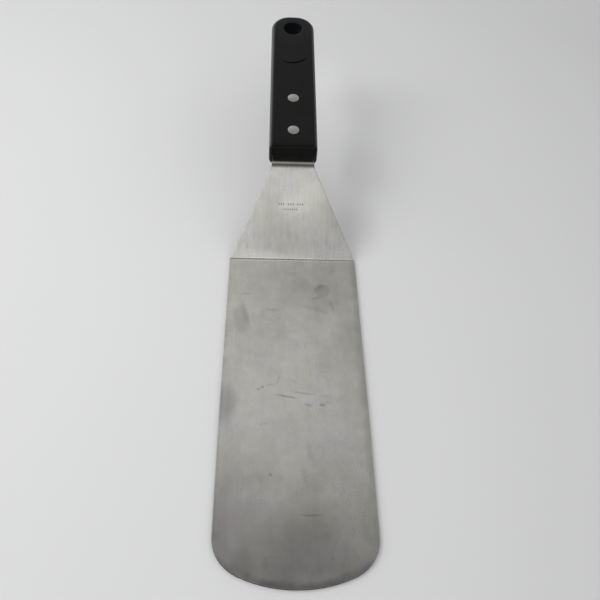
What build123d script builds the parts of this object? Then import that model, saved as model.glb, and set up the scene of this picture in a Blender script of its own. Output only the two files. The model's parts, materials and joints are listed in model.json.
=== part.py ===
from build123d import *
import math
import os

# Offset griddle turner: a round-tipped sheet blade with a cranked neck, a one-piece
# handle over the tang, and two two-part compression rivets.  Millimetres.
#
# Output frame: origin at the centre of the blade's flat underside, halfway from the
# tip to the bend line.  +Y runs from the blade to the handle, +Z is up, +X is across.
# The shapes are built with the bend line at Y = 0 and moved there at the end.

# --- sheet ---
SHEET_T = 1.2            # gauge
SHEET_EDGE_R = 0.28      # deburred edge
BEND_R = 4.0             # inner radius of the blade/neck bend
CRANK_R = 9.0            # inner radius of the neck/tang bend
TIP_OVERRUN = 10.0       # spare strip past the tip, trimmed by the plan outline
TANG_OVERRUN = 12.0      # spare strip past the tang's end, trimmed likewise
STRIP_HALF_W = 60.0
PLAN_BOTTOM_Z = -10.0    # the plan outline is extruded from here
PLAN_H = 90.0

# --- blade ---
BLADE_L = 204.8          # bend line to tip
BEND_W = 74.0            # width at the bend line
BLADE_W = 75.6           # full width
BLADE_SWELL = 120.0      # distance from the bend at which the full width starts
BLADE_SWELL_R = 400.0
TIP_R = 60.0             # radius of the rounded tip
TIP_BLEND_R = 21.0       # radius that joins the side to the tip
NECK_CORNER_R = 3.0      # shoulder at the bend line

# --- neck ---
NECK_ANGLE = 27.7        # rise of the neck from the blade
NECK_L = 60.7            # bend line to crank line, on the upper surface
WAIST_W = 26.3           # width from the waist into the handle
WAIST_S = 59.3           # distance up the neck at which the taper ends
WAIST_R = 10.0           # concave rounding at the waist

# --- tang ---
TANG_ANGLE = 10.3        # rise of the tang and handle
TANG_SHOW = 8.7          # flat length between the crank line and the handle
TANG_IN = 62.0           # length held inside the handle
TANG_TAPER_IN = 4.0      # plan distance inside the handle at which the taper starts
TANG_TAPER_R = 6.0
TANG_END_W = 19.0        # width at the buried end
TANG_END_R = 7.0
TANG_SQUARE_IN = 4.5     # edges further inside the handle than this stay square

# --- handle ---
HANDLE_L = 123.5
HANDLE_W_FRONT = 29.8
HANDLE_W_BUTT = 28.5
HANDLE_T = 14.3
BUTT_R = 12.3            # plan radius of the two butt corners
HANDLE_EDGE_R = 2.6      # long edges and butt
FRONT_OVERRUN = 12.0     # spare length in front, trimmed after the edges are rounded
FRONT_CORNER_R = 2.0     # plan radius of the front corners
FRONT_EDGE_RADII = (0.8, 0.6, 0.4)   # rounding round the front face, first choice first
TRIM_FRONT_L = 4.0       # the trim keeps the front width this far past its corners
TRIM_MARGIN = 5.0        # room round the rest of the handle in the trim
CUT_MARGIN = 4.0         # extra length of cutters that pass through the handle
SLOT_GAP = 0.08          # clearance between the tang's faces and the slot
SLOT_SIDE_GAP = 0.15     # clearance beside the tang
SLOT_END_GAP = 1.0       # room past the tang's end
SLOT_OVERRUN = 3.0       # cutter's start in front of the handle

# --- hanging hole ---
HANG_S = 110.4           # distance from the handle's front face
HANG_D = 12.4
HANG_RIM_R = 0.5

# --- gouge in the handle's top face ---
# A shallow arc cut by a ring, tipped so that the groove runs out at both ends.
GOUGE_X = -1.24          # centre of the arc, across
GOUGE_S = 89.4           # centre of the arc, from the front face
GOUGE_ARC_R = 13.3
GOUGE_CUT_R = 0.95       # radius of the ring's round section
GOUGE_DEPTH = 0.38       # depth where the arc comes nearest the front face
GOUGE_DEPTH_X = 0.7      # place across the handle at which that depth is set
GOUGE_RISE_X = -0.0255   # slope of the ring across the handle
GOUGE_RISE_S = 0.0915    # slope of the ring along the handle

# --- compression rivets: heights are from the tang's middle surface ---
RIVET_S = {"front": 15.2, "rear": 43.35}   # distances from the handle's front face
RIVET_HEAD_D = 7.1
RIVET_HEAD_T = 1.8
RIVET_CROWN = 0.25       # height of the crowned head above its rim
RIVET_RIM_R = 0.12       # rounding of the head's rim
RIVET_SINK = 0.10        # the rim sits this far below the handle's surface
RIVET_SHANK_D = 5.0
RIVET_PIN_D = 3.2
RIVET_FIT = 0.04         # radial gap round the heads and shank in the handle
RIVET_PRESS_GAP = 0.01   # radial gap of the pin in the socket
TANG_HOLE_GAP = 0.15     # radial gap of the shank in the tang
TANG_DRILL_L = 20.0
COUNTERBORE_L = 6.0      # length of the cutter, which overshoots the surface
COLLAR_END_Z = 3.0       # the pin half's collar stops here
PIN_END_Z = -3.0
PIN_CHAMFER = 0.4
SOCKET_END_Z = 2.95      # the socket's mouth
BORE_END_Z = -3.6        # the bottom of the socket's bore
RIVET_RIM_Z = HANDLE_T / 2 - RIVET_SINK
HEAD_UNDER_Z = RIVET_RIM_Z - RIVET_HEAD_T


def direction(angle):
    return Vector(math.cos(math.radians(angle)), math.sin(math.radians(angle)))


def normal(along):
    return Vector(-along.Y, along.X)


# Side view of the sheet's upper surface: X here is the frame's Y, and Y its Z.
BLADE_DIR = direction(0)
NECK_DIR = direction(NECK_ANGLE)
TANG_DIR = direction(TANG_ANGLE)
BEND_TOP = Vector(0, SHEET_T)
CRANK_TOP = BEND_TOP + NECK_DIR * NECK_L
FRONT_MID = CRANK_TOP + TANG_DIR * TANG_SHOW - normal(TANG_DIR) * (SHEET_T / 2)
FRONT_Y = FRONT_MID.X    # where the tang's middle surface enters the handle

# Handle plane: origin on the tang's middle surface at the handle's front face,
# local x across (+X), local y along the handle, local z its upward normal.
HANDLE_PLANE = Plane(
    origin=(0, FRONT_MID.X, FRONT_MID.Y),
    x_dir=(1, 0, 0),
    z_dir=(0, -TANG_DIR.Y, TANG_DIR.X),
)


# --- helpers ---

def round_corner(sketch, corner, radius, tolerance=1e-3):
    """Round the open sketch's vertex at corner."""
    x, y = corner
    found = [
        v for v in sketch.vertices()
        if abs(v.X - x) < tolerance and abs(v.Y - y) < tolerance
    ]
    fillet(found, radius=radius)


def round_pair(sketch, corner, radius):
    """Round a corner and its mirror image across the Y axis."""
    for side in (1, -1):
        round_corner(sketch, (side * corner[0], corner[1]), radius)


def mirrored(right):
    """Right-hand points, then their mirror images in reverse order."""
    return right + [(-x, y) for x, y in reversed(right)]


def symmetric_plan(right, radius):
    """Closed symmetric outline whose last right-hand corner is rounded."""
    with BuildSketch() as plan:
        with BuildLine():
            Polyline(mirrored(right), close=True)
        make_face()
        round_pair(plan, right[-1], radius)
    return plan.sketch


def fillet_if_valid(shape, edges, radii):
    """Round with the first radius that works, or leave the shape square."""
    for radius in radii:
        # The kernel can fail, or return an invalid solid, on these short edges.
        try:
            rounded = fillet(edges, radius=radius)
            if rounded.is_valid:
                return rounded
        except Exception:
            continue
    return shape


def upright_cylinder(radius, bottom, top):
    return Pos(0, 0, (top + bottom) / 2) * Cylinder(radius, top - bottom)


# --- sheet ---

def bent_strip():
    """Side profile of the bent sheet, extruded across X."""
    def bottom_corner(top, before, after):
        normals_sum = normal(before) + normal(after)
        return top - normals_sum * (SHEET_T / (1 + before.dot(after)))

    tang_length = TANG_SHOW + TANG_IN + TANG_OVERRUN
    tip_y = -BLADE_L - TIP_OVERRUN
    tang_top = CRANK_TOP + TANG_DIR * tang_length
    tang_bottom = tang_top - normal(TANG_DIR) * SHEET_T
    bend_bottom = bottom_corner(BEND_TOP, BLADE_DIR, NECK_DIR)
    crank_bottom = bottom_corner(CRANK_TOP, NECK_DIR, TANG_DIR)
    outline = [
        Vector(tip_y, SHEET_T), BEND_TOP, CRANK_TOP, tang_top,
        tang_bottom, crank_bottom, bend_bottom, Vector(tip_y, 0),
    ]
    with BuildSketch() as side:
        with BuildLine():
            Polyline(outline, close=True)
        make_face()
        for corner, radius in (
            (BEND_TOP, BEND_R),
            (bend_bottom, BEND_R + SHEET_T),
            (CRANK_TOP, CRANK_R + SHEET_T),
            (crank_bottom, CRANK_R),
        ):
            round_corner(side, (corner.X, corner.Y), radius)
    return extrude(Plane.YZ * side.sketch, amount=STRIP_HALF_W, both=True)


def sheet_plan():
    """Plan outline of blade, neck and tang."""
    # The tip arc joins each straight side through a blend arc tangent to both.
    side_x = BLADE_W / 2
    tip_centre_y = -BLADE_L + TIP_R
    centre_gap = TIP_R - TIP_BLEND_R
    blend_x = side_x - TIP_BLEND_R
    blend_y = tip_centre_y - math.sqrt(centre_gap ** 2 - blend_x ** 2)
    scale = TIP_R / centre_gap
    tip_end = (blend_x * scale, tip_centre_y + (blend_y - tip_centre_y) * scale)
    side_start = (side_x, blend_y)
    mid_angle = math.atan2(tip_end[1] - blend_y, tip_end[0] - blend_x) / 2
    blend_mid = (
        blend_x + TIP_BLEND_R * math.cos(mid_angle),
        blend_y + TIP_BLEND_R * math.sin(mid_angle),
    )

    swell = (side_x, -BLADE_SWELL)
    shoulder = (BEND_W / 2, 0)
    waist = (WAIST_W / 2, WAIST_S * NECK_DIR.X)
    taper = (WAIST_W / 2, FRONT_Y + TANG_TAPER_IN)
    tang_end = (TANG_END_W / 2, FRONT_Y + TANG_IN * TANG_DIR.X)

    def flip(point):
        return (-point[0], point[1])

    with BuildSketch() as plan:
        with BuildLine():
            ThreePointArc(flip(tip_end), (0, -BLADE_L), tip_end)
            ThreePointArc(tip_end, blend_mid, side_start)
            Polyline(mirrored([side_start, swell, shoulder, waist, taper, tang_end]))
            ThreePointArc(flip(side_start), flip(blend_mid), flip(tip_end))
        make_face()
        for corner, radius in (
            (shoulder, NECK_CORNER_R),
            (waist, WAIST_R),
            (tang_end, TANG_END_R),
            (swell, BLADE_SWELL_R),
            (taper, TANG_TAPER_R),
        ):
            round_pair(plan, corner, radius)
    return plan.sketch


def is_outline_edge(edge):
    """True for edges round the sheet's outline, outside the buried tang."""
    middle = edge @ 0.5
    tangent = edge % 0.5
    buried = middle.Y > FRONT_Y + TANG_SQUARE_IN
    upright = abs(tangent.Z) > 0.9
    # Bend tangent lines run straight across; so does the tip's middle, which is kept.
    bend_line = (
        abs(tangent.X) > 0.999 and abs(middle.X) < 1.0 and middle.Y > -BLADE_L + 5
    )
    return not (buried or upright or bend_line)


def make_blade():
    blade = bent_strip() & (Pos(0, 0, PLAN_BOTTOM_Z) * extrude(sheet_plan(), amount=PLAN_H))
    drill = Cylinder(RIVET_SHANK_D / 2 + TANG_HOLE_GAP, TANG_DRILL_L)
    for s in RIVET_S.values():
        blade = blade - HANDLE_PLANE * (Pos(0, s, 0) * drill)
    outline_edges = [e for e in blade.edges() if is_outline_edge(e)]
    return fillet_if_valid(blade, outline_edges, (SHEET_EDGE_R,))


# --- handle, built flat in the handle plane's local frame ---

def handle_bar():
    """Tapered bar with rounded edges, trimmed to its front face."""
    front_x = HANDLE_W_FRONT / 2
    butt_x = HANDLE_W_BUTT / 2
    slope = (front_x - butt_x) / HANDLE_L
    bar_plan = symmetric_plan(
        [(front_x + slope * FRONT_OVERRUN, -FRONT_OVERRUN), (butt_x, HANDLE_L)], BUTT_R
    )
    bar = extrude(bar_plan, amount=HANDLE_T / 2, both=True)
    long_edges = [
        e for e in bar.edges()
        if abs(abs((e @ 0.5).Z) - HANDLE_T / 2) < 1e-4 and (e @ 0.5).Y > -FRONT_OVERRUN + 1e-3
    ]
    bar = fillet(long_edges, radius=HANDLE_EDGE_R)

    trim_step_y = FRONT_CORNER_R + TRIM_FRONT_L
    trim_plan = symmetric_plan(
        [
            (front_x + TRIM_MARGIN, HANDLE_L + TRIM_MARGIN),
            (front_x + TRIM_MARGIN, trim_step_y),
            (front_x, trim_step_y),
            (front_x, 0),
        ],
        FRONT_CORNER_R,
    )
    bar = bar & extrude(trim_plan, amount=HANDLE_T, both=True)
    # Edges round the front face, without those that run up it or along the handle.
    front_edges = [
        e for e in bar.edges()
        if (e @ 0.5).Y < FRONT_CORNER_R + 0.3
        and abs((e % 0.5).Z) < 0.98
        and abs((e % 0.5).Y) < 0.995
    ]
    return fillet_if_valid(bar, front_edges, FRONT_EDGE_RADII)


def cut_hanging_hole(body):
    body = body - Pos(0, HANG_S, 0) * Cylinder(HANG_D / 2, HANDLE_T + CUT_MARGIN)
    rim = [
        e for e in body.edges()
        if e.geom_type == GeomType.CIRCLE
        and abs(e.radius - HANG_D / 2) < 1e-4
        and abs(e.arc_center.Y - HANG_S) < 1e-3
    ]
    return fillet(rim, radius=HANG_RIM_R)


def tang_slot():
    """Cutter for the blind slot, open at the front face."""
    mouth_x = WAIST_W / 2 + SLOT_SIDE_GAP
    plan = symmetric_plan(
        [
            (mouth_x, -SLOT_OVERRUN),
            (mouth_x, TANG_TAPER_IN / TANG_DIR.X),  # plan distance measured up the slope
            (TANG_END_W / 2 + SLOT_SIDE_GAP, TANG_IN + SLOT_END_GAP),
        ],
        TANG_END_R,
    )
    return extrude(plan, amount=SHEET_T / 2 + SLOT_GAP, both=True)


def cut_gouge(body):
    depth_z = HANDLE_T / 2 + GOUGE_CUT_R - GOUGE_DEPTH
    ring_z = depth_z + GOUGE_RISE_X * (GOUGE_X - GOUGE_DEPTH_X) + GOUGE_RISE_S * GOUGE_ARC_R
    ring_plane = Plane(
        origin=(GOUGE_X, GOUGE_S, ring_z),
        x_dir=(1, 0, GOUGE_RISE_X),
        z_dir=(-GOUGE_RISE_X, -GOUGE_RISE_S, 1),
    )
    gouged = body - ring_plane * Torus(GOUGE_ARC_R, GOUGE_CUT_R)
    # The grazing cut can break the solid; if so, the face is left plain.
    return gouged if gouged.is_valid and len(gouged.solids()) == 1 else body


def make_handle():
    body = cut_hanging_hole(handle_bar())
    body = body - tang_slot()
    body = cut_gouge(body)
    shank_drill = Cylinder(RIVET_SHANK_D / 2 + RIVET_FIT, HANDLE_T + CUT_MARGIN)
    counterbore = Cylinder(RIVET_HEAD_D / 2 + RIVET_FIT, COUNTERBORE_L)
    for s in RIVET_S.values():
        body = body - Pos(0, s, 0) * shank_drill
        for side in (1, -1):
            body = body - Pos(0, s, side * (HEAD_UNDER_Z + COUNTERBORE_L / 2)) * counterbore
    return HANDLE_PLANE * body


# --- rivets ---

def circles_at(shape, height, tolerance):
    return [
        e for e in shape.edges()
        if e.geom_type == GeomType.CIRCLE and abs(e.arc_center.Z - height) < tolerance
    ]


def crowned_head():
    """Head disc under a shallow spherical crown."""
    head_r = RIVET_HEAD_D / 2
    ball_r = (head_r ** 2 + RIVET_CROWN ** 2) / (2 * RIVET_CROWN)
    top = RIVET_RIM_Z + RIVET_CROWN
    head = upright_cylinder(head_r, HEAD_UNDER_Z, top + 1) & (
        Pos(0, 0, top - ball_r) * Sphere(ball_r)
    )
    return fillet(circles_at(head, RIVET_RIM_Z, 1e-3), radius=RIVET_RIM_R)


def pin_half():
    """Upper half: crowned head, short collar and the pin in the socket."""
    collar = upright_cylinder(RIVET_SHANK_D / 2, COLLAR_END_Z, HEAD_UNDER_Z)
    pin = upright_cylinder(RIVET_PIN_D / 2, PIN_END_Z, COLLAR_END_Z)
    body = crowned_head() + collar + pin
    return chamfer(circles_at(body, PIN_END_Z, 1e-4), length=PIN_CHAMFER)


def socket_half():
    """Lower half: the same head turned over, with a hollow shank."""
    shank = upright_cylinder(RIVET_SHANK_D / 2, -HEAD_UNDER_Z, SOCKET_END_Z)
    bore = upright_cylinder(RIVET_PIN_D / 2 + RIVET_PRESS_GAP, BORE_END_Z, SOCKET_END_Z + 1)
    return Rot(180, 0, 0) * crowned_head() + shank - bore


# --- assembly and export ---

pieces = {"blade": make_blade(), "handle": make_handle()}
for place, s in RIVET_S.items():
    pieces[place + "_rivet_pin"] = HANDLE_PLANE * (Pos(0, s, 0) * pin_half())
    pieces[place + "_rivet_socket"] = HANDLE_PLANE * (Pos(0, s, 0) * socket_half())

os.makedirs("parts", exist_ok=True)
for name, shape in pieces.items():
    solids = (Pos(0, BLADE_L / 2, 0) * shape).solids()
    piece = solids[0] if len(solids) == 1 else Compound(solids)
    piece.label = name
    export_step(piece, "parts/" + name + ".step")
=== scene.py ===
"""Turner with a brushed steel blade and a riveted black handle, on a pale floor.

The blade lies flat along Y with its tip at -Y. The sheet bends up at Y_BEND into a neck,
and the handle carries on from the neck towards +Y. X runs across the blade, +Z is up.
Objects are in metres; the material patterns are laid out in millimetres.
"""
import json
import math
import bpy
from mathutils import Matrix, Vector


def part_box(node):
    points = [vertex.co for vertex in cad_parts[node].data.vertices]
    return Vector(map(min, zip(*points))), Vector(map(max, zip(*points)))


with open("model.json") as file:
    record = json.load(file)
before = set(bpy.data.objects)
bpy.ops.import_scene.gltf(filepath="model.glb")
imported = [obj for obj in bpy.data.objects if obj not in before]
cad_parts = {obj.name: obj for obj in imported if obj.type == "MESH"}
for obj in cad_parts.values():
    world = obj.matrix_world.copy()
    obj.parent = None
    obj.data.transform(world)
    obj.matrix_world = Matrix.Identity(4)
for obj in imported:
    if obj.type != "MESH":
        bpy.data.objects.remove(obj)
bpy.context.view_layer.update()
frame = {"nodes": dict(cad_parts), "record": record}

from types import SimpleNamespace

import bpy
from mathutils import Matrix, Vector

# ---------------------------------------------------------------------------
# Driving dimensions
# ---------------------------------------------------------------------------
TO_MM = 1000.0

# Sheet, metres
BLADE_LENGTH = 0.2048                 # tip to bend
SHEET_T = 0.0012
BLADE_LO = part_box("blade")[0]
Y_BEND = BLADE_LO.y + BLADE_LENGTH
Z_FLOOR = BLADE_LO.z
TIP_RADIUS = 60.0                     # mm, rounding of the tip

# Handle: distances are from the middle of its front face, along it
HANG_HOLE_S = 0.1104                  # metres
RIVETS_S = (15.2, 43.35)              # mm
HANDLE_HALF_T = 7.15                  # mm
hang_mount = {m["name"]: m for m in frame["record"]["mounts"]}["hanging_hole"]
HANG_AXIS = Vector(hang_mount["axis"]).normalized()
HANDLE_DIR = Vector((0, HANG_AXIS.z, -HANG_AXIS.y)).normalized()      # towards the butt
HANDLE_FRONT = Vector(hang_mount["pos_m"]) - HANDLE_DIR * HANG_HOLE_S


# ---------------------------------------------------------------------------
# Shader graph helpers
# ---------------------------------------------------------------------------
class Signal:
    """An output socket; + - * / ** and abs() on it add math nodes."""

    def __init__(self, graph, socket):
        self.graph = graph
        self.socket = socket

    def __abs__(self):
        return self.graph.math("ABSOLUTE", self)

    def times_add(self, factor, addend):
        return self.graph.math("MULTIPLY_ADD", self, factor, addend)

    def remap(self, source, target, smooth=False):
        """Carry the range source onto target, held at both ends."""
        return self.graph.signal(
            "ShaderNodeMapRange", dict(enumerate((self, *source, *target))),
            clamp=not smooth,                     # smoothstep stays in range by itself
            interpolation_type="SMOOTHSTEP" if smooth else "LINEAR")

    def rise(self, start, end, smooth=False):
        """0 at start, 1 at end."""
        return self.remap((start, end), (0, 1), smooth)

    def fall(self, start, end, smooth=False):
        """1 at start, 0 at end."""
        return self.remap((start, end), (1, 0), smooth)

    def lerp(self, at_0, at_1):
        """Number mixed with this signal as the factor."""
        return self.graph.signal("ShaderNodeMix", {0: self, 2: at_0, 3: at_1},
                                 data_type="FLOAT", clamp_factor=True)

    def lerp_color(self, at_0, at_1):
        """Colour mixed with this signal as the factor."""
        return self.graph.signal("ShaderNodeMix", {0: self, 6: at_0, 7: at_1}, 2,
                                 data_type="RGBA", clamp_factor=True)


for method, operation in (("add", "ADD"), ("sub", "SUBTRACT"), ("mul", "MULTIPLY"),
                          ("truediv", "DIVIDE"), ("pow", "POWER")):
    setattr(Signal, f"__{method}__",
            lambda self, other, op=operation: self.graph.math(op, self, other))
    setattr(Signal, f"__r{method}__",
            lambda self, other, op=operation: self.graph.math(op, other, self))


class Graph:
    """Adds nodes to a tree. An input may be a number, a tuple or a Signal."""

    def __init__(self, tree):
        self.tree = tree

    def put(self, socket, value):
        if isinstance(value, Signal):
            self.tree.links.new(value.socket, socket)
        elif isinstance(value, tuple) and len(value) == 3 and socket.type == "RGBA":
            socket.default_value = (*value, 1.0)
        else:
            socket.default_value = value

    def node(self, kind, inputs=None, **settings):
        row, column = divmod(len(self.tree.nodes), 12)
        node = self.tree.nodes.new(kind)
        node.location = (220 * column, -260 * row)
        for name, value in settings.items():
            setattr(node, name, value)
        for key, value in (inputs or {}).items():
            self.put(node.inputs[key], value)
        return node

    def signal(self, kind, inputs=None, output=0, **settings):
        return Signal(self, self.node(kind, inputs, **settings).outputs[output])

    def math(self, operation, a, b=0.0, c=None, clamp=False):
        inputs = {0: a, 1: b} if c is None else {0: a, 1: b, 2: c}
        return self.signal("ShaderNodeMath", inputs, operation=operation, use_clamp=clamp)

    def position(self, kind="Object"):
        return self.signal("ShaderNodeTexCoord", output=kind)

    def normal(self):
        return self.signal("ShaderNodeNewGeometry", output="Normal")

    def scale(self, vector, factor):
        return self.signal("ShaderNodeVectorMath", {0: vector, 3: factor}, operation="SCALE")

    def dot(self, vector, direction):
        return self.signal("ShaderNodeVectorMath", {0: vector, 1: tuple(direction)}, "Value",
                           operation="DOT_PRODUCT")

    def split(self, vector):
        outputs = self.node("ShaderNodeSeparateXYZ", {0: vector}).outputs
        return [Signal(self, socket) for socket in outputs]

    def join(self, x, y, z):
        return self.signal("ShaderNodeCombineXYZ", {0: x, 1: y, 2: z})

    def noise(self, vector, scale=1.0, detail=3.0, rough=0.55):
        return self.signal("ShaderNodeTexNoise", {
            "Vector": vector, "Scale": scale, "Detail": detail, "Roughness": rough})

    def noise_xy(self, x, y, per_mm, layer, detail=3.0, rough=0.55):
        """Noise over x and y at the frequencies per_mm; layer is the third coordinate."""
        return self.noise(self.join(x * per_mm[0], y * per_mm[1], layer), 1.0, detail, rough)

    def noise_turned(self, x, y, heading, per_mm, layer):
        """Noise drawn out along heading, a (cosine, sine) pair."""
        cos, sin = heading
        return self.noise_xy(x * cos + y * sin, y * cos - x * sin, per_mm, layer,
                             detail=2, rough=0.5)

    def radius(self, x, y, centre_y):
        """Distance from (0, centre_y)."""
        return self.math("SQRT", x * x + (y - centre_y) ** 2.0)

    def bump(self, height, strength, distance, normal=None):
        inputs = {"Strength": strength, "Distance": distance, "Height": height}
        if normal is not None:
            inputs["Normal"] = normal
        return self.signal("ShaderNodeBump", inputs)

    def blob(self, x, y, centre_x, centre_y, radius_x, radius_y, angle, soft):
        """1 inside a soft-edged ellipse turned by angle degrees, 0 outside; all in mm."""
        cos, sin = math.cos(math.radians(angle)), math.sin(math.radians(angle))
        values = (x, y, centre_x, centre_y, cos / radius_x, sin / radius_x,
                  -sin / radius_y, cos / radius_y, 1.0 - soft, 1.0 + soft)
        return self.signal("ShaderNodeGroup", dict(enumerate(values)), node_tree=SOFT_ELLIPSE)

    def blobs(self, x, y, table):
        """One weighted blob per row; the last column is the weight."""
        return [self.blob(x, y, *shape) * weight for *shape, weight in table]


def soft_ellipse_group():
    """Node group behind Graph.blob."""
    names = ("x", "y", "cx", "cy", "ux", "uy", "vx", "vy", "inner", "outer")
    tree = bpy.data.node_groups.new("soft_ellipse", "ShaderNodeTree")
    for name in names:
        tree.interface.new_socket(name=name, in_out="INPUT", socket_type="NodeSocketFloat")
    tree.interface.new_socket(name="mask", in_out="OUTPUT", socket_type="NodeSocketFloat")
    g = Graph(tree)
    sockets = g.node("NodeGroupInput").outputs
    x, y, cx, cy, ux, uy, vx, vy, inner, outer = (
        Signal(g, sockets[i]) for i in range(len(names)))
    dx, dy = x - cx, y - cy
    across = dx.times_add(ux, dy * uy)
    along = dx.times_add(vx, dy * vy)
    distance = g.math("SQRT", across.times_add(across, along * along))
    g.node("NodeGroupOutput", {0: distance.fall(inner, outer, smooth=True)})
    return tree


SOFT_ELLIPSE = soft_ellipse_group()


def total(signals):
    return sum(signals[1:], signals[0])


def empty_graph(owner):
    owner.use_nodes = True
    owner.node_tree.nodes.clear()
    return Graph(owner.node_tree)


def new_material(name):
    material = bpy.data.materials.new(name)
    return material, empty_graph(material)


def add_surface(g, inputs):
    """Principled surface wired to the material output."""
    g.node("ShaderNodeOutputMaterial", {0: g.signal("ShaderNodeBsdfPrincipled", inputs)})


# ---------------------------------------------------------------------------
# Brushed stainless sheet
# ---------------------------------------------------------------------------
# Darker patches, in mm from the middle of the bend: stains and smudges, and painted dark
# reflections (the broad patches near the tip, the thin band across the neck at y 60):
# centre x, centre y, radius x, radius y, angle, softness, depth
STAINS_AND_DARK_REFLECTIONS = [
    (17, -26, 3.8, 4.4, 0, 0.35, 0.13), (14.6, -23, 2.4, 3.4, -35, 0.6, 0.13),
    (17.4, -21.8, 2.8, 1.4, 0, 0.7, 0.11), (12.6, -31, 1.9, 1.2, 15, 0.7, 0.13),
    (21.6, -37.2, 1.1, 4.2, 16, 0.6, 0.20), (-29.3, -48, 3.9, 10, 6, 0.50, 0.17),
    (-26.8, -43, 1.3, 8, 12, 0.8, 0.16), (-11.7, -41.2, 3, 0.75, 0, 0.7, 0.20),
    (10, -39.4, 5.2, 1.4, -20, 0.8, 0.10), (16.6, -41.8, 3.4, 1.2, -22, 0.8, 0.13),
    (-26.5, -29, 2.2, 0.75, 0, 0.6, 0.15), (22.6, -9.5, 1.7, 2.6, 0, 0.7, 0.13),
    (-11.8, -10.5, 2.6, 5.6, 0, 0.8, 0.09), (0.4, -11.8, 2.4, 1.6, 0, 0.8, 0.11),
    (-16, -60, 10, 5, 10, 0.9, 0.04), (-34.9, -105, 4.6, 10.5, 0, 0.6, 0.24),
    (-37, -84, 3, 7, 0, 0.8, 0.06), (7.4, -134.6, 1, 5, 2, 0.8, 0.10),
    (4.7, -149, 1, 6, 0, 0.8, 0.11), (-12.1, -147.8, 0.75, 0.75, 0, 0.6, 0.32),
    (-30, -150, 6, 12, 0, 0.9, 0.05), (-12, -186, 7, 4, 30, 0.8, 0.06),
    (26.5, -187, 2.2, 5, -10, 0.8, 0.04), (-6, -196, 8, 3, 8, 0.8, 0.05),
    (20, -23, 15, 16, 0, 0.9, 0.11), (-4, -26, 22, 12, 0, 0.95, 0.05),
    (31, -45, 6, 20, 0, 0.9, 0.05), (34, -78, 7, 38, 0, 0.9, 0.09),
    (38, -12, 8, 12, 0, 0.9, 0.13), (-34, -3, 8, 6, 0, 0.9, 0.10),
    (-35, -150, 5, 24, 0, 0.9, 0.05), (-30, -182, 12, 14, 0, 0.9, 0.07),
    (-42, -178, 12, 24, 0, 0.95, 0.13), (-22, -189, 24, 17, 0, 0.95, 0.07),
    (-26, -193, 14, 7, -28, 0.9, 0.07), (5, -184.5, 12.5, 14.5, 0, 0.25, 0.09),
    (7.5, -174, 13, 10, 0, 0.35, 0.10), (10, -177, 11, 18, 0, 0.7, 0.08),
    (0.5, -26, 5, 16, 0, 0.9, 0.07), (10, -190, 12, 13, 0, 0.45, 0.12),
    (11, -198, 14, 5, 10, 0.8, 0.12), (-12, 35, 4, 6, 0, 0.9, 0.08),
    (-15, -194.5, 11, 6, -12, 0.8, 0.22), (22, -196, 14, 6, 22, 0.8, 0.12),
    (0, 60, 24, 2.4, 0, 0.8, 0.15), (26, 26, 4, 16, 24, 0.8, 0.06),
    (21, 22, 8, 13, 15, 0.9, 0.055), (-9, 14, 9, 12, 20, 0.9, 0.05),
    (30.5, -158, 1.4, 4, 0, 0.8, 0.07), (29, -173, 1.2, 3, 0, 0.8, 0.08),
    (-13.3, -193, 1.5, 2.4, 0, 0.6, 0.10), (-23.5, -183.5, 2.5, 5.5, 0, 0.8, 0.05),
]
# Outer and inner ellipse of the dry rim round the first, round stain, and its depth
STAIN_RIM = ((17, -26, 4.5, 5.1, 0, 0.16), (17, -26, 3.5, 4.1, 0, 0.16))
STAIN_RIM_DEPTH = 0.09

# Brighter patches, the strip just above the bend and the lower left of the neck among them
# being painted highlights: columns as in the darker patches above, the last one is the gain
BRIGHT_PATCHES = [
    (0, -152, 60, 14, 0, 0.9, 0.10), (-17, -168, 14, 10, 0, 0.9, 0.09),
    (2, 2.5, 28, 4, 0, 0.9, 0.15), (2, -92, 14, 30, 0, 0.9, 0.07),
    (-22, -118, 12, 16, 0, 0.9, 0.06), (1, 34, 11, 4, 0, 0.8, 0.11),
    (11, 43, 7, 5, 0, 0.9, 0.06), (24, -183, 7, 10, 0, 0.5, 0.08),
    (6, 42, 16, 9, 25, 0.9, 0.07), (30, 3, 9, 5, 0, 0.9, 0.10),
    (-30, 8, 12, 13, 0, 0.9, 0.13),
]

# Short straight nicks, mm: start x, start y, end x, end y, half width, depth
SCRATCHES = [
    (-8.6, -100.5, 1.2, -102.4, 0.62, 0.30), (-1.4, -98.4, 10.4, -99.7, 0.48, 0.22),
    (5.2, -106.3, 9.2, -107.3, 0.85, 0.24), (12.9, -106.5, 15.8, -106.5, 0.85, 0.34),
    (14, -104.6, 20, -105.2, 0.6, 0.12), (13, -100.4, 18, -100.8, 0.5, 0.12),
    (2.2, -169.3, 12.2, -169.2, 0.55, 0.26), (-19.6, -97.1, -17.2, -96.8, 0.7, 0.18),
    (-17, -95.8, -15.6, -95.4, 0.8, 0.30), (-15.4, -94.6, -9.6, -93.4, 0.4, 0.16),
    (-9, -93.6, -7.4, -88, 0.5, 0.12), (-3, -90, 3, -93.5, 0.5, 0.10),
    (-24, -60, -21, -66, 0.25, 0.07), (22, -52, 27, -49, 0.25, 0.06),
    (-18, -119, -13, -118.4, 0.5, 0.10), (-15, -190.4, -11, -189.7, 0.4, 0.12),
    (-11.2, -189.7, -6.6, -190.4, 0.4, 0.12), (15.3, -178.5, 18.1, -183.4, 0.7, 0.04),
    (18.1, -183, 15.8, -188.5, 0.7, 0.05), (15.9, -189.6, 16.2, -191.4, 0.8, 0.12),
    (26.4, -188, 27.6, -190.7, 0.5, 0.10), (-8, -128, 4, -131, 0.22, 0.07),
]

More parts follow.
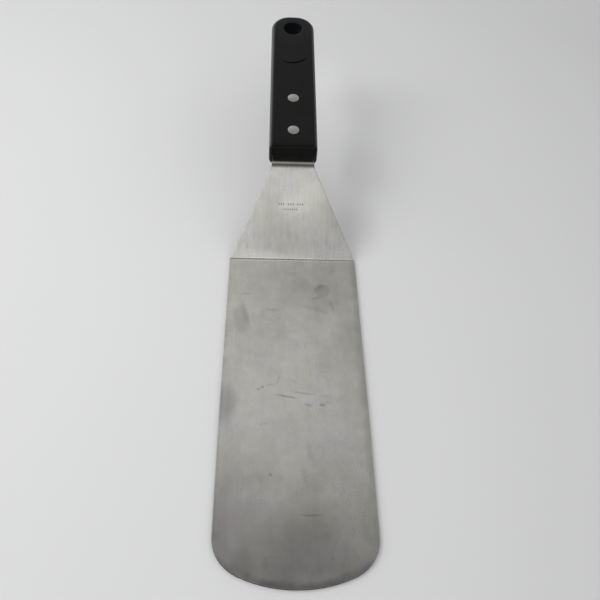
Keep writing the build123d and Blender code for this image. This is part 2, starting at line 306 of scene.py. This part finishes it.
# Rows of etched dashes on the neck, mm: y, first x, pitch, places, half height,
# and whether every fourth place is left empty
TICK_ROWS = ((35.3, -8.3, 1.42, 12, 0.66, True), (32.0, -5.4, 1.3, 7, 0.5, False))
TICK_HALF_WIDTH, TICK_SOFT, TICK_DEPTH = 0.33, 0.45, 0.52

# Hairline scuffs: (cosine, sine) of the heading, noise layer
SHEET_SCUFFS = (((0.97, 0.26), 21.0), ((0.80, -0.60), 33.0))

# Steel colours
STEEL_WARM, STEEL_NEUTRAL, STEEL_COOL = (
    (0.597, 0.591, 0.538), (0.600, 0.590, 0.580), (0.613, 0.590, 0.608))
# Colours of the sheet's cut side, by place; at the tang and inside the handle they are
# painted shade
SIDE_TIP, SIDE_BLADE, SIDE_TANG_SHADE, SIDE_IN_HANDLE_SHADE = (
    (0.060, 0.058, 0.058), (0.62, 0.62, 0.61), (0.10, 0.098, 0.096), (0.012, 0.012, 0.012))
TANG_ENTRY_SHADE = (0.010, 0.010, 0.010)


def sheet_fields(g):
    """Sheet coordinates in mm, masks, and the noises that several effects share."""
    x, y, z = g.split(g.scale(g.position(), TO_MM))
    along = y - Y_BEND * TO_MM                        # 0 at the bend, negative on the blade
    height = z - (Z_FLOOR + SHEET_T) * TO_MM          # above the blade's top face
    run = height.times_add(0.25, along)               # length along the sheet
    neck = height.rise(0.2, 1.2)
    # the underside carries the same kinds of mark in other places
    normal_z = g.split(g.normal())[2]
    under = normal_z.rise(-0.2, -0.6)
    top = 1.0 - under
    x = under.lerp(x, x * -1.0)
    run = under.times_add(-13.0, run)

    # warped coordinates, so that nothing lies on perfect curves
    wobble = g.noise_xy(x, run, (0.09, 0.09), layer=3.1)
    ripple = g.noise_xy(x, run, (0.45, 0.45), layer=9.4, detail=4)
    warp_x = (wobble - 0.5).times_add(5.0, (ripple - 0.5).times_add(2.4, x))
    warp_run = (wobble - 0.5).times_add(-4.0, (ripple - 0.5).times_add(2.0, run))
    fine_cloud = g.noise_xy(warp_x, warp_run, (0.22, 0.16), layer=4.2, detail=5, rough=0.62)

    # distance in from the rounded rim of the tip
    tip_y = along + (BLADE_LENGTH * TO_MM - TIP_RADIUS)
    rim_gap = TIP_RADIUS - g.math("SQRT", x * x + tip_y * tip_y)
    return SimpleNamespace(
        x=x, along=along, height=height, run=run, neck=neck, top=top, normal_z=normal_z,
        ripple=ripple, warp_x=warp_x, warp_run=warp_run, fine_cloud=fine_cloud,
        # lengthwise grain, fine and medium
        hair=g.noise_xy(x, run, (7.0, 0.12), layer=0.0, detail=2, rough=0.6),
        line=g.noise_xy(x, run, (2.2, 0.06), layer=5.0, detail=2, rough=0.6),
        cloud=g.noise_xy(warp_x, warp_run, (0.055, 0.045), layer=1.7, detail=5, rough=0.6),
        # smears that run up the neck
        smear=g.noise_xy(warp_x, run, (0.95, 0.10), layer=17.0),
        tip_gap=(fine_cloud - 0.5).times_add(2.4, rim_gap),
        on_tip=along.fall(-184, -176),
    )


def scratch_marks(g, sheet):
    marks = []
    for x0, y0, x1, y1, half_width, depth in SCRATCHES:
        length = math.hypot(x1 - x0, y1 - y0)
        angle = math.degrees(math.atan2(y1 - y0, x1 - x0))
        mark = g.blob((sheet.ripple - 0.5).times_add(0.8, sheet.x),
                      (sheet.ripple - 0.5).times_add(1.0, sheet.run),
                      (x0 + x1) / 2, (y0 + y1) / 2, length / 2, half_width, angle, soft=0.5)
        marks.append(mark * depth)
    return marks


def tick_marks(g, sheet):
    marks = []
    for row_y, first_x, pitch, count, half_height, gaps in TICK_ROWS:
        for k in range(count):
            if gaps and k % 4 == 3:
                continue
            tick = g.blob(sheet.x, sheet.run, first_x + k * pitch, row_y,
                          TICK_HALF_WIDTH, half_height, 0, TICK_SOFT)
            marks.append(tick * TICK_DEPTH * sheet.top)
    return marks


def edge_darkening(sheet):
    """Darker along the right edge, thinner along the left, and round the tip a painted dark
    reflection.
    """
    x, tip_gap, on_tip = sheet.x, sheet.tip_gap, sheet.on_tip
    half_width = sheet.along.remap((-120, 0), (37.8, 37.0))
    right_gap = (sheet.fine_cloud - 0.5).times_add(2.0, half_width - x)
    left_gap = (sheet.fine_cloud - 0.5).times_add(2.0, half_width + x)
    on_blade = sheet.along.fall(-0.5, 1.0)
    return [
        right_gap.fall(0.3, 5.0, smooth=True) * 0.22 * on_blade,
        left_gap.fall(0.2, 2.2, smooth=True) * 0.10 * on_blade,
        tip_gap.fall(0.6, 5.5, smooth=True) * 0.20 * on_tip,
        tip_gap.fall(0.4, 1.3, smooth=True) * 0.10 * on_tip,
    ]


def sheet_darkening(g, sheet):
    """Everything that darkens the sheet, added up."""
    warp_x, warp_run = sheet.warp_x, sheet.warp_run
    outer, inner = (g.blob(warp_x, warp_run, *ellipse) for ellipse in STAIN_RIM)
    scuffs = [g.noise_turned(sheet.x, sheet.run, heading, (0.07, 2.4), layer)
              .remap((0.70, 0.78), (0, 0.06)) for heading, layer in SHEET_SCUFFS]
    return total([
        *g.blobs(warp_x, warp_run, STAINS_AND_DARK_REFLECTIONS),
        (outer - inner) * STAIN_RIM_DEPTH,
        *scratch_marks(g, sheet),
        *tick_marks(g, sheet),
        *scuffs,
        *edge_darkening(sheet),
        sheet.smear.remap((0.60, 0.70), (0, 0.09)) * sheet.neck,
    ])


def sheet_lift(g, sheet):
    """Everything that brightens the sheet, added up."""
    x, along, run, top = sheet.x, sheet.along, sheet.run, sheet.top
    # painted highlight just above the bend, most on the left, where the sheet turns up to the
    # light, and a painted highlight along the bend line itself
    reach = run / x.remap((-37, 20), (9.5, 1.3))
    bend_highlight = reach.fall(0, 1) * x.remap((-32, 37), (0.36, 0.08))
    crease_highlight = along.rise(-1.5, -0.6) * along.fall(0.5, 1.1)
    # paler smears that run up from the bend
    wipe = sheet.smear.remap((0.42, 0.33), (0, 0.10)) * run.remap((5, 20), (1, 0.35))
    return total([
        *g.blobs(sheet.warp_x, sheet.warp_run, BRIGHT_PATCHES),
        bend_highlight * run.rise(0.1, 0.5) * top,
        crease_highlight * 0.20 * top,
        wipe * sheet.neck * top,
    ])


def sheet_shade(g, sheet):
    """Brightness of the faces from clouds and grain, round 1."""
    x, run, neck = sheet.x, sheet.run, sheet.neck
    band = g.noise_xy(x, run, (0.55, 0.035), layer=8.0, rough=0.6)
    streak = (sheet.line - 0.5) * neck.lerp(1.0, 0.6) + (band - 0.5) * 0.95
    streak = streak * neck.lerp(0.35, 1.0)
    wide = g.noise_xy(x, run, (0.16, 0.012), layer=14.0, rough=0.6)
    shade = 1.0 + (sheet.cloud - 0.5) * 0.42
    shade = shade + (sheet.fine_cloud - 0.5) * 0.28
    shade = shade + (wide - 0.5) * 0.17 * (1.0 - neck)
    shade = shade + streak * neck.lerp(0.22, 0.27)
    return shade + (sheet.hair - 0.5) * 0.05


def face_color(g, sheet, dark):
    x, run = sheet.x, sheet.run
    tint = g.noise_xy(sheet.warp_x, sheet.warp_run, (0.07, 0.05), layer=12.5, rough=0.5)
    tint_amount = sheet.neck.lerp(run.remap((-65, -25), (1, 0.25)), 1.0)
    base = (tint.rise(0.35, 0.65) * tint_amount).lerp_color(STEEL_WARM, STEEL_NEUTRAL)
    shade = sheet_shade(g, sheet) + sheet_lift(g, sheet)
    shade = shade * g.math("SUBTRACT", 1.0, dark, clamp=True)

    # painted dark reflection in a band at the tip's rim: strongest in the middle, weak at the
    # lower left
    span = x.remap((16, 24), (1, 0.55)) + x.remap((26, 33), (0, 0.3))
    span = g.math("MAXIMUM", x.rise(-23, -14) * span, x.remap((-34, -26), (0.5, 0)))
    tip_rim_reflection = sheet.tip_gap.fall(1.1, 3.8) * span * sheet.on_tip
    shade = shade * tip_rim_reflection.times_add(-0.38, 1.0)
    cool_patch = g.blob(x, run, 5, -191, radius_x=17, radius_y=13, angle=0, soft=0.7)
    cool = g.math("MAXIMUM", tip_rim_reflection, cool_patch * 0.45)
    return g.scale(cool.lerp_color(base, STEEL_COOL), shade)


def add_cut_edges(g, sheet, color):
    """Colour the sheet's narrow side, and the rims of the neck's faces."""
    x, along, height, neck = sheet.x, sheet.along, sheet.height, sheet.neck
    side = abs(sheet.normal_z).fall(0.45, 0.90)
    side_color = along.rise(-160, -60).lerp_color(SIDE_TIP, SIDE_BLADE)
    side_color = height.rise(25.5, 27.5).lerp_color(side_color, SIDE_TANG_SHADE)
    side_color = along.rise(56.5, 59.0).lerp_color(side_color, SIDE_IN_HANDLE_SHADE)
    amount = g.math("MAXIMUM", along.remap((-180, -60), (1, 0.4)), height.rise(25.5, 27.5))
    color = (side * amount).lerp_color(color, side_color)

    # rims of the neck: a painted highlight along the left rim, painted shade along the right
    half_width = along.remap((0, 52.5), (37.0, 13.15))
    left_gap = (sheet.ripple - 0.5).times_add(1.2, half_width + x)
    right_gap = (sheet.ripple - 0.5).times_add(0.6, half_width - x)
    below_waist = along.fall(50, 54)
    for rim, gain in ((left_gap.fall(0.3, 1.3) * neck, 0.20),
                      (right_gap.fall(0.2, 0.8) * neck, -0.30)):
        color = g.scale(color, (rim * below_waist).times_add(gain, 1.0))
    return color


def sheet_roughness(sheet, dark):
    rough = 0.275 + (sheet.cloud - 0.5) * 0.10
    rough = rough + (sheet.line - 0.5) * 0.06 + dark * 0.35
    # the tang near the handle keeps its mill polish
    return sheet.height.rise(26, 29).lerp(rough, 0.16)


def sheet_normal(g, sheet, dark):
    """Grain, marks and a slow swell."""
    normal = g.bump(sheet.hair * 0.25 + sheet.line * 0.75,
                    strength=sheet.neck.lerp(0.035, 0.055), distance=0.00004)
    normal = g.bump(sheet.fine_cloud * 0.3 + dark * -0.8,
                    strength=0.10, distance=0.00016, normal=normal)
    swell = g.noise_xy(sheet.x, sheet.run, (0.055, 0.045), layer=1.7, detail=1, rough=0.5)
    return g.bump(swell, strength=0.10, distance=0.0012, normal=normal)


def steel_material():
    material, g = new_material("brushed_stainless_sheet")
    sheet = sheet_fields(g)
    dark = sheet_darkening(g, sheet)
    color = add_cut_edges(g, sheet, face_color(g, sheet, dark))
    # painted shade on the tang's narrow sides where they run into the handle: dark and not
    # metallic there
    tang_entry_shade = abs(sheet.normal_z).fall(0.90, 0.975) * sheet.along.rise(55.2, 56.6)
    add_surface(g, {
        "Base Color": tang_entry_shade.lerp_color(color, TANG_ENTRY_SHADE),
        "Metallic": 1.0 - tang_entry_shade,
        "Specular IOR Level": tang_entry_shade.times_add(-0.5, 0.5),
        "Roughness": tang_entry_shade.lerp(sheet_roughness(sheet, dark), 0.7),
        "Anisotropic": 0.6,
        "Tangent": g.join(1.0, 0.0, 0.0),
        "Normal": sheet_normal(g, sheet, dark),
    })
    return material


# ---------------------------------------------------------------------------
# Black moulded handle
# ---------------------------------------------------------------------------
PLASTIC, PLASTIC_HAZE, PLASTIC_COOL = (
    (0.0030, 0.0030, 0.0030), (0.0052, 0.0053, 0.0055), (0.0064, 0.0074, 0.0098))
CORNER_RUB, SCUFF, GOUGE_SHADE = (
    (0.018, 0.018, 0.019), (0.022, 0.022, 0.022), (0.0012, 0.0012, 0.0012))
# Fine scuffs: (cosine, sine) of the heading, noise layer, noise level where they start
HANDLE_SCUFFS = (((0.94, 0.34), 3.0, 0.69), ((0.42, -0.90), 7.0, 0.71))


def handle_coordinates(g):
    """Millimetres across the handle, along it from its front face, and up its thickness."""
    position = g.position()
    offset = g.signal("ShaderNodeVectorMath", {0: position, 1: tuple(HANDLE_FRONT)},
                      operation="SUBTRACT")
    x = g.split(g.scale(position, TO_MM))[0]
    return x, g.dot(offset, HANDLE_DIR) * TO_MM, g.dot(offset, HANG_AXIS) * TO_MM


def handle_material():
    material, g = new_material("black_moulded_plastic")
    x, along, up = handle_coordinates(g)
    place = g.join(x, along, up)
    normal_in = g.normal()
    normal_x = g.split(normal_in)[0]
    normal_up = g.dot(normal_in, HANG_AXIS)

    grit = g.noise(place, scale=3.6, detail=3, rough=0.6)      # spark-eroded mould texture
    pebble = g.noise(place, scale=1.3, detail=2, rough=0.5)
    haze = g.noise(place, scale=0.06, detail=4, rough=0.6)
    rub = g.noise_xy(x, along, (0.5, 0.06), layer=up * 0.5, detail=4, rough=0.6)

    # pale rubbed corners
    corner = abs(normal_up).rise(0.35, 0.7) * abs(normal_up).fall(0.8, 0.985)
    corner = corner * rub.remap((0.4, 0.65), (0.25, 0.9))
    scuff = total([g.noise_turned(x, along, heading, (0.12, 2.6), layer)
                   .rise(start, start + 0.07) for heading, layer, start in HANDLE_SCUFFS])
    # the worn gouge: the surface sinks below the top face there
    gouge = up.fall(HANDLE_HALF_T - 0.10, HANDLE_HALF_T - 0.015) * abs(x).fall(11.2, 11.5)
    gouge = gouge * (along.rise(70, 70.5) * along.fall(90, 90.5) * up.rise(6.0, 6.3))

    color = haze.rise(0.35, 0.70).lerp_color(PLASTIC, PLASTIC_HAZE)
    # the gouge's darker colour is painted shade in the groove, on top of its real depth
    for amount, layer_color in ((along.rise(88, 124) * 0.6, PLASTIC_COOL),
                                (corner, CORNER_RUB),
                                (scuff * 0.5, SCUFF),
                                (gouge * 0.95, GOUGE_SHADE)):
        color = amount.lerp_color(color, layer_color)

    rough = 0.40 + (haze - 0.5) * 0.16 + (rub - 0.5) * 0.12
    rough = rough + (scuff * 0.08 + gouge * 0.35)

    normal = g.bump(grit * 0.6 + pebble * 0.4, strength=0.20, distance=0.00005)
    normal = g.bump(haze + (scuff * 0.05 + gouge * -0.5),
                    strength=0.35, distance=0.0004, normal=normal)

    # painted sheen: the reflection strength grows at grazing angles and is weaker on faces
    # turned right, standing in for the light from the left; it is also weaker near the front
    # face and in the gouge, painted shade there
    facing = g.signal("ShaderNodeLayerWeight", {"Blend": 0.5}, "Facing")
    facing = facing + normal_x.remap((0, -0.5), (0, 0.06))
    painted_sheen = normal_x.remap((-0.1, 0.5), (1, 0.50))
    # painted shade in the hanging hole: its bore reflects less
    bore_shade = g.radius(x, along, HANG_HOLE_S * TO_MM).remap((6.25, 6.6), (0.25, 1))
    painted_sheen = painted_sheen * (bore_shade * 1.0)
    grazing = gouge.lerp(facing.remap((0.36, 0.62), (0.20, 0.85)), 0.04)
    add_surface(g, {
        "Base Color": color,
        "Roughness": rough,
        "Specular IOR Level": grazing * (painted_sheen * along.remap((1.2, 4.0), (0.30, 1))),
        "IOR": 1.49,
        "Normal": normal,
    })
    return material


# ---------------------------------------------------------------------------
# Rivet metal
# ---------------------------------------------------------------------------
RIVET_DARK, RIVET_LIGHT = (0.488, 0.490, 0.472), (0.556, 0.556, 0.536)


def rivet_material():
    material, g = new_material("turned_rivet_metal")
    x, along, up = handle_coordinates(g)
    # distance from the nearer rivet's axis
    radius = g.math("MINIMUM", *(g.radius(x, along, rivet) for rivet in RIVETS_S))
    turning = g.noise(g.join(radius * 5.0, 0.0, up), rough=0.6)
    pitting = g.noise(g.join(x, along, up), scale=1.6, detail=4, rough=0.65)
    grain = g.noise_xy(x, along, (4.0, 0.6), layer=up, rough=0.6)
    nicks = g.noise_xy(x + along, x - along, (0.5, 4.0), layer=2.0, detail=2)

    shade = 1.0 + (pitting - 0.5) * 0.30
    shade = shade + (turning - 0.5) * 0.16
    shade = shade + radius.rise(2.6, 3.4) * 0.10               # paler rim
    shade = shade - nicks.remap((0.64, 0.72), (0, 0.16))
    normal = g.bump(turning * 0.6 + grain * 0.4, strength=0.2, distance=0.00004)
    add_surface(g, {
        "Base Color": g.scale(pitting.lerp_color(RIVET_DARK, RIVET_LIGHT), shade),
        "Metallic": 1.0,
        "Roughness": 0.36 + (pitting - 0.5) * 0.18,
        "Normal": g.bump(pitting, strength=0.3, distance=0.0001, normal=normal),
    })
    return material


def dress_pieces():
    """Blade in steel, handle in plastic, every other piece in rivet metal."""
    materials = {"blade": steel_material(), "handle": handle_material()}
    rivet_metal = rivet_material()
    for name, node in frame["nodes"].items():
        material = materials.get(name, rivet_metal)
        for i in range(len(node.data.materials)):
            node.data.materials[i] = material
        for slot in node.material_slots:
            slot.material = material
        if not node.material_slots:
            node.data.materials.append(material)


# ---------------------------------------------------------------------------
# Floor
# ---------------------------------------------------------------------------
FLOOR_HALF = 4.0
FLOOR_GAP = 0.00003                   # below the blade
FLOOR_DARK, FLOOR_LIGHT = (0.795, 0.797, 0.80), (0.815, 0.817, 0.82)
# Painted shadow of the neck and handle on the floor, right of the neck: columns as for the
# sheet's darker patches
FLOOR_SHADOWS = ((40, 35, 11, 22, 0, 0.8, 0.13), (46, 88, 16, 26, 0, 0.9, 0.06))


def floor_material():
    material, g = new_material("pale_floor")
    position = g.position()
    mottle = g.noise(g.scale(position, 1.0), scale=9, detail=4, rough=0.6)
    x, y, _ = g.split(position)
    # painted light falloff: the floor dims from left to right, outwards, and in the far and
    # near right
    shade = x.remap((-0.30, 0.30), (1.018, 0.778))
    ring_x, ring_y = x * (1 / 0.30), (y - 0.05) * (1 / 0.35)
    outward = g.math("MINIMUM", ring_x * ring_x + ring_y * ring_y, 1.5)
    far_tilt = y.rise(0.15, 0.50) * x.remap((-0.30, 0.30), (-1, 1))
    near_right = y.rise(0.05, -0.15) * x.rise(0.08, 0.28)

    # light bounced back under the raised handle
    x_mm, y_mm = x * TO_MM, (y - Y_BEND) * TO_MM
    gap = x_mm - y_mm.remap((90, 215), (26, 20))
    lit = gap.fall(2, y_mm.remap((85, 135), (13, 30)), smooth=True) * gap.rise(-26, -6)
    lit = lit * (y_mm.rise(62, 88) * y_mm.fall(190, 250))

    for mask, gain in ((outward, -0.07), (far_tilt, 0.045), (near_right, -0.11), (lit, 0.13)):
        shade = shade * mask.times_add(gain, 1.0)
    # painted shadow right of the neck and handle
    for patch in g.blobs(x_mm, y_mm, FLOOR_SHADOWS):
        shade = shade * (1.0 - patch)
    add_surface(g, {
        "Base Color": g.scale(mottle.lerp_color(FLOOR_DARK, FLOOR_LIGHT), shade),
        "Roughness": 0.75,
        "Specular IOR Level": 0.15,
    })
    return material


def add_object(name, data):
    added = bpy.data.objects.new(name, data)
    bpy.context.scene.collection.objects.link(added)
    return added


def build_floor():
    half = FLOOR_HALF
    mesh = bpy.data.meshes.new("floor")
    corners = [(-half, -half, 0), (half, -half, 0), (half, half, 0), (-half, half, 0)]
    mesh.from_pydata(corners, [], [(0, 1, 2, 3)])
    floor = add_object("floor", mesh)
    floor.location = (0, 0, Z_FLOOR - FLOOR_GAP)
    mesh.materials.append(floor_material())


# ---------------------------------------------------------------------------
# Camera: three-quarter view from above the blade's tip
# ---------------------------------------------------------------------------
SENSOR_MM, LENS_MM = 36.0, 51.9156
CLIP_NEAR, CLIP_FAR = 0.01, 50.0
CAMERA_PLACE = Vector((-0.016855, Y_BEND - 0.371855, Z_FLOOR + SHEET_T + 0.352339))
PITCH, YAW, ROLL = (math.radians(a) for a in (46.059, 3.532, 3.648))


def camera_axes():
    """Unit vectors to the camera's right, up and forward."""
    forward = Vector((math.sin(YAW) * math.cos(PITCH), math.cos(YAW) * math.cos(PITCH),
                      -math.sin(PITCH)))
    level = Vector((math.cos(YAW), -math.sin(YAW), 0))
    upright = level.cross(forward)
    right = level * math.cos(ROLL) + upright * math.sin(ROLL)
    up = -level * math.sin(ROLL) + upright * math.cos(ROLL)
    return right, up, forward


def build_camera():
    data = bpy.data.cameras.new("camera")
    data.sensor_width = SENSOR_MM
    data.lens = LENS_MM
    data.clip_start, data.clip_end = CLIP_NEAR, CLIP_FAR
    camera = add_object("camera", data)
    right, up, forward = camera_axes()
    columns = (right, up, -forward, CAMERA_PLACE)
    camera.matrix_world = Matrix([[c[i] for c in columns] for i in range(3)] + [[0, 0, 0, 1]])
    bpy.context.scene.camera = camera


# ---------------------------------------------------------------------------
# Surroundings and light
# ---------------------------------------------------------------------------
# Brightness of the middle of the room: degrees (0 at +Y, 90 overhead, 180 at -Y), value
SKY_STOPS = [
    (0, 0.55), (40, 0.48), (44, 0.44), (50, 0.62), (55.5, 0.90), (58, 0.50), (60, 0.15),
    (64, 0.12), (80, 0.14), (84, 0.36), (87, 0.72), (92, 0.96), (94.5, 1.52), (96, 1.32),
    (97.5, 0.38), (100, 0.18), (107, 0.22), (116, 0.9), (130, 1.4), (180, 1.1),
]
SKY_RAMP_PEAK = 2.0                   # value that the ramp stores as 1
MIDDLE_WIDTH, MIDDLE_WIDTH_DARK = 0.38, 0.72     # sideways reach, plain and in the dark zone
# Dark spot of the room, seen in the blade near its tip: the view ray's offset to the
# right and down per unit forward, then the spot's spread and depth
SPOT_RIGHT, SPOT_DOWN = 0.00693433, 0.2958648
SPOT_SPREAD, SPOT_DEPTH = 0.0060, 0.60


def dark_spot_direction():
    """Direction that a level mirror shows along the spot's view ray."""
    right, up, forward = camera_axes()
    ray = forward + right * SPOT_RIGHT - up * SPOT_DOWN
    return Vector((ray.x, ray.y, -ray.z)).normalized()


def sky_ramp(g, degrees):
    node = g.node("ShaderNodeValToRGB", {0: degrees / 180.0})
    elements = node.color_ramp.elements
    while len(elements) < len(SKY_STOPS):
        elements.new(0.5)
    for element, (angle, value) in zip(elements, SKY_STOPS):
        element.position = angle / 180.0
        element.color = (*[value / SKY_RAMP_PEAK] * 3, 1)
    return Signal(g, node.outputs[0]) * SKY_RAMP_PEAK


def build_world():
    world = bpy.data.worlds.new("studio")
    bpy.context.scene.world = world
    g = empty_graph(world)
    direction = g.position("Generated")
    x, y, z = g.split(direction)
    degrees = g.math("ARCTAN2", z, y) * (180.0 / math.pi)
    core = sky_ramp(g, degrees)
    # away from the middle the overhead dark zone fades to an even tone
    dark_zone = degrees.rise(56.5, 59.5) * degrees.fall(80, 86)
    spread = dark_zone.lerp(-(MIDDLE_WIDTH ** 2), -(MIDDLE_WIDTH_DARK ** 2))
    middle = math.e ** (x * x / spread)
    # there, a bright belt lies low down, with dimmer tones above it
    even = z.remap((0.58, 0.82), (1.35, 0.55), smooth=True)
    # the wall round the key light is dim, so the key alone draws the shadow
    key_wall = x.fall(-0.55, -0.25) * z.rise(0.30, 0.45)
    even = even * key_wall.times_add(-0.72, 1.0)
    light = middle.lerp(even, core)
    # brighter on the left, dimmer on the right; the other way round in the dark zone
    light = light * x.remap((-1, 1), (1.35, 0.72))
    light = light * (x * 1.8 * middle).times_add(dark_zone, 1.0)
    # left side of the far wall is brighter than the right
    far_wall = degrees.fall(48, 58)
    light = light * (1.0 - x * 2.4 * (far_wall * middle))
    # and so is the left end of the strip just past overhead
    strip = degrees.rise(95, 96.5) * degrees.fall(101, 106)
    light = light * (strip * middle).times_add(x.remap((-0.20, 0.20), (0.85, -0.45)), 1.0)
    spot = math.e ** ((g.dot(direction, dark_spot_direction()) - 1.0) / SPOT_SPREAD)
    light = light * (1.0 - spot * SPOT_DEPTH)
    color = g.scale(g.join(1.0, 1.0, 1.0), light)
    g.node("ShaderNodeOutputWorld", {0: g.signal("ShaderNodeBackground", {0: color})})


def build_disk_light(name, place, target, size, power):
    """Disk light aimed at target, unseen in reflections."""
    data = bpy.data.lights.new(name, "AREA")
    data.shape = "DISK"
    data.size = size
    data.energy = power
    light = add_object(name, data)
    light.location = place
    light.rotation_mode = "QUATERNION"
    light.rotation_quaternion = (Vector(target) - Vector(place)).to_track_quat("-Z", "Y")
    light.visible_glossy = False


# ---------------------------------------------------------------------------
# Build
# ---------------------------------------------------------------------------
dress_pieces()
build_floor()
build_world()
build_disk_light("key", place=(-1.00, 0.19, 0.80), target=(0, 0.1, 0), size=0.75, power=5.4)
build_camera()
bpy.context.scene.view_settings.view_transform = "Standard"
bpy.context.scene.view_settings.look = "None"
